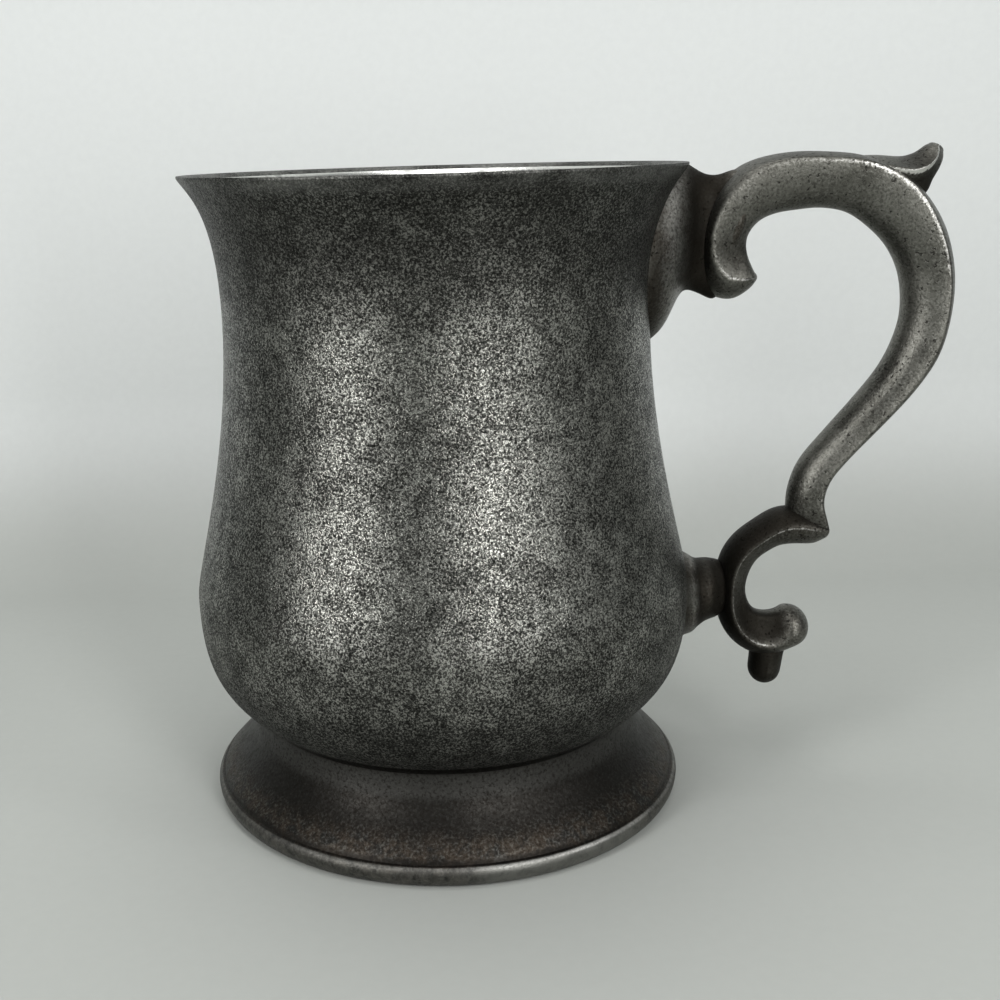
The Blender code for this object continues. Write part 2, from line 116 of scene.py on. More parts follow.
UPPER_STATIONS = (
    ((10.0, -5.6), (9.7, -3.8), 5.2, 1.0, 1.0, 0.2, 0.0, 0.1),
    ((8.7, -7.2), (9.2, -2.7), 7.8, 2.4, 1.3, 0.6, 0.05, 0.1),
    ((5.5, -8.9), (8.5, -0.9), 10.0, 4.2, 1.4, 0.7, 0.12, 0.1),
    ((1.9, -7.9), (8.3, 0.4), 11.0, 4.2, 1.4, 0.6, 0.16, 0.2),
    ((-0.2, -4.0), (8.3, 1.5), 11.5, 2.9, 1.3, 0.4, 0.16, 0.3),
    ((-0.6, 1.0), (8.6, 2.7), 12.0, 1.6, 1.1, 0.2, 0.12, 0.3),
    ((0.4, 6.6), (9.5, 4.1), 12.3, 1.3, 1.1, 0.1, 0.05, 0.3),
    ((3.0, 11.5), (11.1, 5.4), 12.5, 1.5, 1.1, 0.1, 0.0, 0.4),
    ((7.7, 15.4), (13.7, 6.3), 12.5, 1.3, 1.2, 0.1, 0.0, 0.4),
    ((14.6, 17.1), (16.9, 6.7), 12.5, 1.05, 1.5, 0.25, 0.0, 0.4),
    ((22.1, 17.1), (21.3, 7.0), 12.5, 1.1, 1.6, 0.4, 0.0, 0.4),
    ((29.2, 16.1), (26.0, 6.1), 12.8, 1.1, 1.8, 0.8, 0.0, 0.3),
    ((37.0, 12.1), (30.3, 3.2), 13.0, 1.4, 1.8, 0.85, 0.0, 0.1),
    ((42.95, 5.3), (33.9, -0.5), 12.8, 2.4, 2.0, 0.8, 0.0, 0.0),
    ((45.8, -2.6), (36.3, -5.4), 12.5, 2.4, 2.0, 0.6, 0.0, 0.0),
    ((46.2, -10.8), (37.1, -11.5), 12.0, 2.2, 1.8, 0.15, 0.0, 0.0),
    ((44.5, -19.4), (36.2, -16.4), 11.6, 2.0, 1.6, 0.05, 0.0, 0.0),
)
MIDDLE_STATIONS = (
    ((35.75, 38.7), (29.2, 43.1), 11.2, 1.8, 1.5, 0.05, 0.0, 0.0),
    ((29.7, 31.7), (24.5, 36.8), 10.8, 1.7, 1.5, 0.05, 0.0, 0.0),
    ((24.5, 26.1), (19.4, 30.7), 10.4, 1.6, 1.5, 0.05, 0.0, 0.0),
    ((20.9, 21.4), (15.0, 25.1), 10.0, 1.5, 1.5, 0.15, 0.0, 0.0),
    ((19.9, 17.4), (13.2, 20.0), 9.8, 1.2, 1.5, 0.25, 0.0, 0.25),
    ((20.6, 13.9), (12.9, 16.6), 9.6, 0.8, 1.4, 0.2, 0.0, 0.6),
    ((21.0, 12.2), (13.0, 14.4), 9.2, 0.6, 1.4, 0.1, 0.0, 0.85),
)
LOWER_STATIONS = (
    ((20.6, 13.2), (20.0, 9.9), 8.6, 1.0, 1.0, 0.1, 0.0, 0.2),
    ((18.3, 14.6), (18.1, 8.9), 10.0, 1.9, 1.1, 0.3, 0.0, 0.5),
    ((15.0, 16.2), (14.7, 8.9), 10.6, 2.8, 1.3, 0.5, 0.0, 0.8),
    ((11.3, 16.0), (12.0, 8.7), 10.6, 3.0, 1.4, 0.5, 0.05, 0.9),
    ((7.3, 13.8), (9.7, 7.6), 10.4, 2.9, 1.5, 0.45, 0.10, 0.9),
    ((3.4, 10.7), (7.8, 6.1), 10.4, 2.7, 1.5, 0.4, 0.14, 0.9),
    ((0.8, 6.5), (6.5, 3.8), 10.4, 2.6, 1.5, 0.35, 0.16, 0.95),
    ((0.0, 0.4), (5.8, 0.4), 10.2, 2.4, 1.5, 0.35, 0.18, 1.0),
    ((0.7, -5.8), (6.6, -2.7), 10.0, 2.6, 1.5, 0.4, 0.24, 0.95),
    ((3.1, -10.3), (8.0, -4.4), 9.8, 2.8, 1.5, 0.45, 0.33, 0.9),
    ((7.1, -13.2), (10.0, -4.9), 9.6, 2.8, 1.4, 0.45, 0.38, 0.8),
    ((11.9, -13.5), (12.0, -4.6), 9.8, 3.0, 1.2, 0.3, 0.28, 0.4),
    ((15.9, -12.1), (13.4, -3.8), 10.0, 3.8, 1.0, 0.15, 0.0, 0.1),
)
SPUR_STATIONS = (
    ((26.9, 16.2), (25.5, 8.0), 8.0, 1.0, 2.0, 0.0, 0.0, 0.1),
    ((31.0, 16.3), (31.8, 7.2), 11.0, 1.8, 2.5, 0.8, 0.1, 0.2),
    ((34.6, 16.0), (37.2, 7.2), 12.4, 2.4, 3.0, 1.5, 0.22, 0.4),
    ((36.2, 16.1), (39.8, 9.0), 12.0, 2.5, 3.0, 1.9, 0.26, 0.6),
    ((37.6, 16.5), (40.7, 11.3), 11.0, 2.4, 3.0, 2.0, 0.24, 0.6),
    ((38.7, 17.1), (41.9, 13.4), 9.2, 2.1, 3.0, 1.9, 0.16, 0.5),
    ((39.6, 17.7), (42.6, 15.1), 6.8, 1.5, 2.6, 1.8, 0.06, 0.3),
    ((40.2, 17.9), (42.7, 16.3), 4.6, 1.0, 2.0, 1.6, 0.0, 0.2),
)
TAIL_STATIONS = (
    ((7.6, -10.6), (13.6, -10.6), 6.0, 3.0, 1.0, 0.0, 0.0, 1.6),
    ((7.0, -12.0), (14.2, -12.0), 7.0, 3.6, 1.0, 0.0, 0.0, 1.6),
    ((7.2, -13.8), (13.9, -13.8), 7.4, 3.3, 1.0, 0.0, 0.0, 1.5),
    ((7.0, -16.8), (13.5, -16.8), 7.2, 3.2, 1.0, 0.0, 0.0, 1.4),
)

# A placed station's numbers after its back and its inner side
WIDTH, CROWN, POWER, WEAR, HOLLOW, SHADING = range(4, 10)

# Lugs: how far out from the throat (upper) or from the wall (lower), then for the
# upper one its top, bottom and half width, for the lower one the rise of its
# middle, its half height and half width; the last two are a painted highlight and painted shade
UPPER_LUG_STATIONS = (
    (-3.4, 16.2, -18.0, 13.6, 0.0, 0.7),
    (-2.2, 16.2, -17.7, 13.5, 0.0, 0.65),
    (-1.1, 16.2, -16.9, 13.3, 0.0, 0.7),
    (0.1, 16.2, -16.0, 12.9, 0.02, 0.6),
    (1.4, 16.2, -15.0, 12.1, 0.12, 0.4),
    (2.7, 16.2, -13.5, 11.1, 0.22, 0.2),
    (3.9, 16.2, -11.0, 9.9, 0.22, 0.1),
    (5.0, 16.2, -8.7, 8.4, 0.12, 0.2),
    (6.1, 16.1, -7.2, 6.8, 0.02, 0.6),
    (7.2, 15.5, -6.9, 5.4, 0.0, 0.95),
    (8.4, 14.7, -7.3, 4.4, 0.0, 1.0),
    (9.8, 13.9, -7.9, 3.9, 0.0, 1.0),
    (11.2, 13.6, -8.7, 4.0, 0.0, 1.0),
    (12.6, 13.7, -8.9, 4.4, 0.0, 0.9),
    (14.0, 14.2, -5.4, 4.7, 0.0, 0.6),
    (15.6, 14.6, 0.6, 5.3, 0.0, 0.2),
    (17.4, 14.4, 2.4, 5.2, 0.0, 0.2),
)
LOWER_LUG_STATIONS = (
    (-2.6, -0.4, 9.4, 11.2, 0.0, 0.6),
    (-1.4, -0.5, 8.9, 10.4, 0.0, 0.5),
    (-0.5, -0.6, 8.4, 9.5, 0.0, 0.4),
    (0.2, -0.7, 8.1, 8.9, 0.05, 0.3),
    (0.8, -0.8, 7.9, 8.6, 0.12, 0.1),
    (1.4, -0.9, 7.6, 8.1, 0.06, 0.3),
    (2.1, -0.8, 7.0, 7.2, 0.0, 0.8),
    (2.8, -0.6, 6.6, 6.9, 0.0, 0.85),
    (3.6, -0.2, 6.3, 6.9, 0.0, 0.65),
    (4.4, 0.0, 6.1, 6.8, 0.0, 0.7),
    (5.1, 0.1, 6.0, 6.4, 0.0, 0.9),
    (5.8, 0.1, 5.9, 5.7, 0.0, 1.0),
    (6.7, 0.2, 5.7, 4.9, 0.0, 1.0),
    (8.0, 0.3, 4.8, 4.2, 0.0, 1.0),
)

# Mesh fineness, and the angles in degrees past which an edge stays sharp
RING_STEPS = 192
DISC_STEPS = 96
SECTION_STEPS = 16
SPAN_STEPS = 3
DOME_STEPS = 4
DOME_TURN = math.radians(84.0)
LUG_STEPS = 24
FINER_LEVELS = 2
TURNED_ANGLE = 30.0
LUG_ANGLE = 40.0
SCROLL_ANGLE = 50.0

# Scroll sections: how much of the hollow each place next to a ridge takes, crease
# of the ridges, and the painted shade of the inner half beside the back's and the hollow's
HOLLOW_SHARES = (1.0, 0.9, -0.5)
RIDGE_CREASE = 0.35
INNER_SHADING = 0.5
HOLLOW_SHADING = 3.2

# Lugs: how deep they sit in the cup's wall, and the ridge mark all over them
SEAT_DEPTH = 0.35
LUG_RIDGE = 1.1

# Stage, in metres
FLOOR_SIZE = 2.4
FLOOR_DROP = 0.0001
BACKDROP_HEIGHT = 1.2
BACKDROP_BEND = 0.05
AIM_HEIGHT = 0.06
WORLD_COLOUR = (0.93, 0.96, 0.95, 1.0)

# Softboxes: name, place from the cup's axis, width, height, setting of the power
SOFTBOXES = (
    ("left_softbox", (-0.34, -0.35, 0.24), 0.11, 0.42, "key_light"),
    ("right_softbox", (0.21, -0.43, 0.24), 0.11, 0.42, "fill_light"),
    ("side_softbox", (0.42, -0.26, 0.34), 0.10, 0.30, "side_light"),
    ("top_softbox", (-0.03, 0.0, 0.60), 0.50, 0.24, "top_light"),
)

# Camera, in millimetres from the cup's axis
CAMERA_PLACE = Vector((0.0, -239.25, 121.68))
CAMERA_TURN = math.radians(-0.774)
CAMERA_DIP = math.radians(15.271)
CAMERA_ROLL = math.radians(-1.682)
CAMERA_LENS = 46.42
CAMERA_SHIFT = 0.0765


# Outlines

def up(height):
    """A step straight up in an outline's plane."""
    return Vector((0.0, height))


def bezier(start, start_handle, end_handle, end, steps):
    """Points of a cubic curve from start to end, both included."""
    points = []
    for step in range(steps + 1):
        t = step / steps
        u = 1.0 - t
        points.append(start * u ** 3 + start_handle * 3 * u * u * t
                      + end_handle * 3 * u * t * t + end * t ** 3)
    return points


def offset_line(points, distance):
    """An open outline moved sideways, to the right of its own direction."""
    moved = []
    for index, point in enumerate(points):
        before = points[max(index - 1, 0)]
        after = points[min(index + 1, len(points) - 1)]
        along = (after - before).normalized()
        moved.append(point + Vector((along.y, -along.x)) * distance)
    return moved


def cup_outline():
    """The cup's outer side from the lip down to the seam, as (radius, height)."""
    lip = Vector((LIP_RADIUS, RIM_HEIGHT - LIP_ROUNDING))
    throat = Vector((THROAT_RADIUS, RIM_HEIGHT - THROAT_DROP))
    belly = Vector((BELLY_RADIUS, BELLY_HEIGHT))
    seam = Vector((SEAM_RADIUS, SEAM_HEIGHT))
    flare = LIP_FLARE * (lip.x - throat.x)
    waist = throat.y - belly.y
    undercut = belly - seam
    side = bezier(lip, lip - flare, throat + up(THROAT_DROP * THROAT_PULL), throat, 16)
    side += bezier(throat, throat - up(waist * WAIST_PULL), belly + up(waist * SWELL_PULL), belly, 18)[1:]
    side += bezier(belly, belly - up(undercut.y * BELLY_PULL), seam + undercut * SEAM_PULL, seam, 14)[1:]
    return side


def wall_radius(height):
    """The cup's outer radius at a height."""
    outline = cup_outline()
    for upper, lower in zip(outline, outline[1:]):
        if lower.y <= height <= upper.y:
            share = (height - lower.y) / (upper.y - lower.y)
            return lower.x + (upper.x - lower.x) * share
    return SEAM_RADIUS


LOWER_SEAT = Vector((wall_radius(LOWER_LUG_HEIGHT) + LOWER_LUG_LENGTH, LOWER_LUG_HEIGHT))


def placed(stations, seat):
    """Stations measured from a seat, as one run of ten numbers each."""
    return [Vector((seat.x + back[0], seat.y + back[1], seat.x + inner[0], seat.y + inner[1], *rest))
            for back, inner, *rest in stations]


def smooth_path(stations):
    """A smooth run of stations through the given ones, evenly split in each span."""
    points = [stations[0] * 2 - stations[1]] + stations + [stations[-1] * 2 - stations[-2]]
    path = []
    for before, start, end, after in zip(points, points[1:], points[2:], points[3:]):
        near = (start - before).length ** 0.5
        span = (end - start).length ** 0.5
        far = (after - end).length ** 0.5
        leave = ((start - before) / near - (end - before) / (near + span) + (end - start) / span) * span
        arrive = ((end - start) / span - (after - start) / (span + far) + (after - end) / far) * span
        for step in range(SPAN_STEPS):
            t = step / SPAN_STEPS
            path.append(start * (2 * t ** 3 - 3 * t * t + 1) + leave * (t ** 3 - 2 * t * t + t)
                        + end * (3 * t * t - 2 * t ** 3) + arrive * (t ** 3 - t * t))
    path.append(points[-2].copy())
    return path


def domed(path, start_height, end_height):
    """A path with shrinking stations added at its ends, as tall as the heights given."""
    def cap(station, height):
        back, inner = Vector(station[0:2]), Vector(station[2:4])
        centre, half = (back + inner) / 2, (back - inner) / 2
        along = Vector((half.y, -half.x)).normalized()
        rings = []
        for step in range(1, DOME_STEPS + 1):
            turn = DOME_TURN * step / DOME_STEPS
            middle = centre + along * height * math.sin(turn)
            reach = half * math.cos(turn)
            rings.append(Vector((*(middle + reach), *(middle - reach), station[WIDTH] * math.cos(turn),
                                 station[CROWN] * math.cos(turn), *station[POWER:])))
        return rings
    start = cap(path[0], start_height)[::-1] if start_height else []
    end = cap(path[-1], end_height) if end_height else []
    return start + path + end


# Edit-mode tools

def deselect_all():
    bpy.ops.object.select_all(action="DESELECT")


def choose(piece):
    """Make a piece the active one and the only selected one, in object mode."""
    deselect_all()
    piece.select_set(True)
    bpy.context.view_layer.objects.active = piece


def edit(piece):
    """Open a piece alone in edit mode."""
    choose(piece)
    bpy.ops.object.mode_set(mode="EDIT")


def pick(piece, test, kind="verts"):
    """Select the vertices, edges or faces whose middle passes a test; none is an error."""
    shape = bmesh.from_edit_mesh(piece.data)
    for element in list(shape.verts) + list(shape.edges) + list(shape.faces):
        element.select = False
    found = False
    for element in getattr(shape, kind):
        corners = [element] if kind == "verts" else element.verts
        if test(sum((corner.co for corner in corners), Vector()) / len(corners)):
            element.select_set(True)
            found = True
    if not found:
        raise RuntimeError(f"no {kind} found on {piece.name}")
    shape.select_flush_mode()
    bmesh.update_edit_mesh(piece.data)


def close_up(piece, name):
    """Merge doubles, turn the faces outwards and put the piece's origin at the world's."""
    bpy.ops.mesh.select_all(action="SELECT")
    bpy.ops.mesh.remove_doubles(threshold=CLOSE)
    bpy.ops.mesh.normals_make_consistent(inside=False)
    bpy.ops.object.mode_set(mode="OBJECT")
    bpy.ops.object.transform_apply(location=True, rotation=True, scale=True)
    piece.name = name
    piece.data.name = name


def smoothed(piece, levels, angle):
    """Finish a piece with an applied subdivision and smooth shading."""
    if levels:
        finer = piece.modifiers.new("finer", "SUBSURF")
        finer.levels = levels
        finer.render_levels = levels
        bpy.ops.object.modifier_apply(modifier=finer.name)
    bpy.ops.object.shade_smooth_by_angle(angle=math.radians(angle))


def lathe(name, outline, segments=RING_STEPS):
    """A ring at an outline's first point, extruded and resized along the rest."""
    deselect_all()
    points = [Vector(point) * MM for point in outline]
    bpy.ops.mesh.primitive_circle_add(vertices=segments, radius=points[0].x,
                                      location=(AXIS_X, 0.0, points[0].y))
    piece = bpy.context.object
    edit(piece)
    bpy.ops.mesh.select_all(action="SELECT")
    for near, far in zip(points, points[1:]):
        bpy.ops.mesh.extrude_region_move(TRANSFORM_OT_translate={"value": (0.0, 0.0, far.y - near.y)})
        share = far.x / near.x
        bpy.ops.transform.resize(value=(share, share, 1.0), center_override=(AXIS_X, 0.0, far.y))
    close_up(piece, name)
    return piece


def pick_ring(piece, ring, places):
    """Select some places of a section's ring, counted from the ring at the path's start."""
    shape = bmesh.from_edit_mesh(piece.data)
    shape.verts.ensure_lookup_table()
    for vertex in shape.verts:
        vertex.select = False
    for place in places:
        shape.verts[ring * SECTION_STEPS + place].select = True
    shape.select_flush_mode()
    bmesh.update_edit_mesh(piece.data)


def sweep(name, path):
    """A scroll: its section at the path's first station, extruded from station to station.

    In the section, +X is the back and Y is across. The ridges stand at its two
    sides, with the crown outside them and the deeper half inside. The crown's
    power is 1 where it is round and 2 where it meets the ridges at an angle.
    """
    deselect_all()
    bpy.ops.mesh.primitive_circle_add(vertices=SECTION_STEPS, radius=1.0, fill_type="NGON")
    piece = bpy.context.object
    edit(piece)
    half, quarter = SECTION_STEPS // 2, SECTION_STEPS // 4
    levels_up = [math.sin(math.tau * step / SECTION_STEPS) for step in range(1, quarter + 1)]
    place, deep, wide, hollow, lean = Vector((0.0, 0.0, 0.0)), 1.0, 1.0, 0.0, 0.0
    heights = levels_up
    for ring, station in enumerate(path):
        back, inner = Vector(station[0:2]) * MM, Vector(station[2:4]) * MM
        outward = back - inner
        new_wide, crown, new_hollow = station[WIDTH] * MM / 2, station[CROWN] * MM, station[HOLLOW]
        new_deep = outward.length - crown
        ridge = inner + outward.normalized() * new_deep
        new_place = Vector((AXIS_X + ridge.x, 0.0, ridge.y))
        new_lean = math.atan2(outward.y, outward.x)
        new_heights = [crown * level ** station[POWER] for level in levels_up]
        turn = {"orient_type": "GLOBAL", "orient_matrix": Matrix.Rotation(-lean, 3, "Y"),
                "orient_matrix_type": "GLOBAL", "center_override": new_place}
        if ring:
            bpy.ops.mesh.extrude_region_move(TRANSFORM_OT_translate={"value": new_place - place})
        else:
            bpy.ops.transform.translate(value=new_place)
        bpy.ops.transform.resize(value=(new_deep / deep, new_wide / wide, 1.0), **turn)
        for step, (old, new) in enumerate(zip(heights, new_heights), 1):
            pick_ring(piece, ring, {half + step, SECTION_STEPS - step})
            bpy.ops.transform.resize(value=(new / old * deep / new_deep, 1.0, 1.0), **turn)
        for step, share in enumerate(HOLLOW_SHARES, 1):
            pick_ring(piece, ring, (step, half - step))
            narrow = (1.0 - new_hollow * share) / (1.0 - hollow * share)
            bpy.ops.transform.resize(value=(1.0, narrow, 1.0), center_override=new_place)
        pick_ring(piece, ring, range(SECTION_STEPS))
        bpy.ops.transform.rotate(value=new_lean - lean, orient_axis="Y", center_override=new_place)
        place, deep, wide, hollow = new_place, new_deep, new_wide, new_hollow
        heights, lean = new_heights, new_lean
    mark_wear(piece, path)
    close_up(piece, name)
    smoothed(piece, FINER_LEVELS, SCROLL_ANGLE)
    return piece


def mark(piece, name, values):
    """Keep one number for each vertex under a name, for the finish to read."""
    shape = bmesh.from_edit_mesh(piece.data)
    layer = shape.verts.layers.float.new(name)
    shape.verts.ensure_lookup_table()
    for vertex, value in zip(shape.verts, values):
        vertex[layer] = value
    bmesh.update_edit_mesh(piece.data)


def mark_wear(piece, path):
    """Crease a scroll's two ridges, and mark ridges, wear and painted shade on its vertices."""
    half = SECTION_STEPS // 2
    ridge, wear, grime = [], [], []
    for station in path:
        # Painted shade: the crown takes the station's number, the inner half a share of it, and the
        # hollow's sides more where the hollow is deep
        dish_shading = min(1.0, station[HOLLOW] * HOLLOW_SHADING)
        inner_shading = station[SHADING] * INNER_SHADING
        for side in range(SECTION_STEPS):
            ridge.append(1.0 if side % half == 0 else 0.0)
            wear.append(station[WEAR])
            crown, dish = side > half, 1 <= min(side, half - side) <= len(HOLLOW_SHARES)
            grime.append(station[SHADING] if crown else max(dish_shading * dish, inner_shading))
    for name, values in (("ridge", ridge), ("wear", wear), ("grime", grime)):
        mark(piece, name, values)
    shape = bmesh.from_edit_mesh(piece.data)
    shape.verts.ensure_lookup_table()
    crease = shape.edges.layers.float.new("crease_edge")
    for ring, station in enumerate(path[1:], 1):
        for side in (0, half):
            ends = [shape.verts[(ring - step) * SECTION_STEPS + side] for step in (0, 1)]
            shape.edges.get(ends)[crease] = RIDGE_CREASE * max(0.0, 1.0 - abs(station[POWER] - 2.0))
    bmesh.update_edit_mesh(piece.data)


# Shader expressions

class Term:
    """A shader socket that can stand in a Python expression."""

    def __init__(self, finish, socket):
        self.finish = finish
        self.socket = socket

    def _maths(self, operation, first, second):
        return self.finish.node("Math", {"operation": operation}, {0: first, 1: second})

    def __add__(self, other):
        return self._maths("ADD", self, other)

    def __radd__(self, other):
        return self._maths("ADD", other, self)

    def __sub__(self, other):
        return self._maths("SUBTRACT", self, other)

    def __rsub__(self, other):
        return self._maths("SUBTRACT", other, self)

    def __mul__(self, other):
        return self._maths("MULTIPLY", self, other)

    def __rmul__(self, other):
        return self._maths("MULTIPLY", other, self)


class Finish:
    """One material, whose nodes are made from expressions."""

    def __init__(self, name):
        self.material = bpy.data.materials.new(name)
        self.material.use_nodes = True
        self.tree = self.material.node_tree
        self.shader = self.tree.nodes["Principled BSDF"]
        self.place = self.node("TexCoord", output="Object")

    def feed(self, socket, value):
        """Link a term to a socket, or set a plain value on it."""
        if isinstance(value, Term):
            self.tree.links.new(value.socket, socket)
        else:
            socket.default_value = value

    def node(self, kind, settings=None, sockets=None, output=0):
        """Add a node with its settings and sockets filled; returns one output as a term."""
        made = self.tree.nodes.new("ShaderNode" + kind)
        for key, value in (settings or {}).items():
            setattr(made, key, value)
        for key, value in (sockets or {}).items():
            self.feed(made.inputs[key], value)
        return Term(self, made.outputs[output])

    def noise(self, scale, detail=2.0, roughness=0.5, distortion=0.0):
        """Fractal noise from 0 to 1 over the object, with scale in cells per metre."""
        return self.node(
            "TexNoise", None,
            {"Vector": self.place, "Scale": scale, "Detail": detail,
             "Roughness": roughness, "Distortion": distortion}, "Fac")

    def step(self, value, low, high, start=0.0, end=1.0):
        """A smooth change from start to end while a value goes from low to high."""
        return self.node(
            "MapRange", {"interpolation_type": "SMOOTHSTEP"},
            {"Value": value, "From Min": low, "From Max": high, "To Min": start, "To Max": end})

    def blend(self, factor, first, second):
        """Mix two colours, which are a mix node's sockets 6 and 7, with output 2."""
        sockets = {0: factor, 6: colour(first), 7: colour(second)}
        return self.node("Mix", {"data_type": "RGBA"}, sockets, 2)

    def parts(self):
        """The object coordinates as three terms."""
        across = self.node("SeparateXYZ", None, {0: self.place})
        return [Term(self, output) for output in across.socket.node.outputs]

    def radius(self):
        """Distance from the cup's axis."""
        across = self.node("VectorMath", {"operation": "SUBTRACT"}, {0: self.place, 1: (AXIS_X, 0.0, 0.0)})
        level = self.node("VectorMath", {"operation": "MULTIPLY"}, {0: across, 1: (1.0, 1.0, 0.0)})
        return self.node("VectorMath", {"operation": "LENGTH"}, {0: level}, "Value")

    def attribute(self, name):
        """A float attribute of the piece."""
        return self.node("Attribute", {"attribute_name": name}, output="Fac")

    def bump(self, height, distance, strength):
        """A bumped normal from a height from 0 to 1, with distance in metres."""
        return self.node("Bump", None, {"Height": height, "Distance": distance, "Strength": strength})

    def metal(self, base, rough, normal=None, metallic=1.0):
        """Feed the shader of a metal."""
        self.feed(self.shader.inputs["Base Color"], base)
        self.feed(self.shader.inputs["Roughness"], rough)
        self.feed(self.shader.inputs["Metallic"], metallic)
        if normal:
            self.feed(self.shader.inputs["Normal"], normal)
        return self.material


def colour(value):
    """A colour as four numbers, or a term as it is."""
    return value if isinstance(value, Term) else (*value[:3], 1.0)


# Finishes: colours that aren't settings, and the height of turning marks in metres

# Black of the cup's dark grain, also used as its painted shade
GRAIN_AND_SHADE_BLACK = (0.008, 0.008, 0.007)
# Black of the foot's dark grain, also used as its painted shade
STAIN_AND_SHADE_BLACK = (0.014, 0.012, 0.010)
# Painted shade in the step above the foot's edge
GROOVE_BLACK = (0.02, 0.018, 0.016)
FLECK_BLACK = (0.02, 0.019, 0.017)
PIT_BLACK = (0.012, 0.011, 0.010)
# Painted shade on the handle and the lugs
SHADE_BROWN = (0.016, 0.014, 0.011)
RUBBED_GREY = (0.20, 0.20, 0.19)
EDGE_GREY = (0.20, 0.20, 0.185)
# Painted sheen round the foot's neck
SHEEN_GREY = (0.085, 0.083, 0.078)
INNER_GREY = (0.72, 0.72, 0.69)
DISC_GREY = (0.34, 0.335, 0.31)
MARK_DEPTH = 0.00002


def grained_pewter(settings):
    """Dull grey pewter with a coarse grain of light and dark flecks, for the cup's outside, with painted
    shade on the mouth, the seam and the lower belly.
    """
    finish = Finish("grained_pewter")
    height = finish.parts()[2]
    size = settings.grain_size
    coarse = finish.noise(1.0 / size, 1.5, 0.5, 0.6)
    fine = finish.noise(2.2 / size, 1.0, 0.5, 0.3)
    cloud = finish.noise(60.0, 3.0, 0.5)
    patch = finish.noise(260.0, 2.0, 0.6)
    level = coarse * 0.66 + fine * 0.34 + (patch - 0.5) * 0.14
    dark = finish.step(level, 0.50, 0.39)
    # Painted shade: the next three masks darken the mouth under the lip, the undercut above the seam and
    # the lower belly
    mouth = finish.step(height, (RIM_HEIGHT - 30.0) * MM, (RIM_HEIGHT - 9.0) * MM)
    crease = finish.step(height, (SEAM_HEIGHT + 14.0) * MM, (SEAM_HEIGHT + 3.0) * MM)
    belly = finish.step(height, (BELLY_HEIGHT + 8.0) * MM, (BELLY_HEIGHT - 8.0) * MM)
    # Only wear here: the lip rubbed lighter just under the rim
    rub_and_highlight = finish.step(height, (RIM_HEIGHT - 3.4) * MM, (RIM_HEIGHT - 1.2) * MM)
    mottle = finish.step(cloud * 0.65 + patch * 0.35, 0.40, 0.60)
    # Falls from 1 where painted shade lies; there it dims the light flecks and blends in black
    unshaded = 1.0 - finish.step(mouth + crease + belly * 0.44, 0.0, 1.0) * 0.9
    light = finish.step(level - (1.0 - unshaded) * 0.015, 0.50, 0.60)
    tone = finish.blend(mottle * unshaded, settings.metal_dark, settings.metal_mid)
    tone = finish.blend((1.0 - unshaded) * 0.52, tone, GRAIN_AND_SHADE_BLACK)
    tone = finish.blend(light * (0.30 + unshaded * 0.64) * (0.68 + mottle * 0.32), tone, settings.metal_light)
    tone = finish.blend(dark * 0.85, tone, GRAIN_AND_SHADE_BLACK)
    tone = finish.blend(rub_and_highlight * (0.12 + mottle * 0.4) * (level + 0.4), tone, RUBBED_GREY)
    rough = 0.37 + dark * 0.2 - light * unshaded * 0.12 + (1.0 - unshaded) * 0.1 + belly * 0.15
    normal = finish.bump(level, settings.grain_depth, 1.0)
    return finish.metal(tone, rough, normal)


def polished_pewter(name, tone, rough):
    """Brighter pewter, worn smooth, with faint turning marks."""
    finish = Finish(name)
    cloud = finish.noise(90.0, 3.0, 0.55)
    marks = finish.noise(1600.0, 2.0, 0.6)
    shade = finish.blend(cloud, [value * 0.7 for value in tone], tone)
    stain = finish.step(finish.noise(260.0, 3.0, 0.6) * 0.5 + cloud * 0.5, 0.52, 0.66)
    shade = finish.blend(stain * 0.75, shade, [value * 0.3 for value in tone])
    rough = rough + (cloud - 0.5) * 0.15 + stain * 0.15
    return finish.metal(shade, rough, finish.bump(marks, MARK_DEPTH, 0.5))


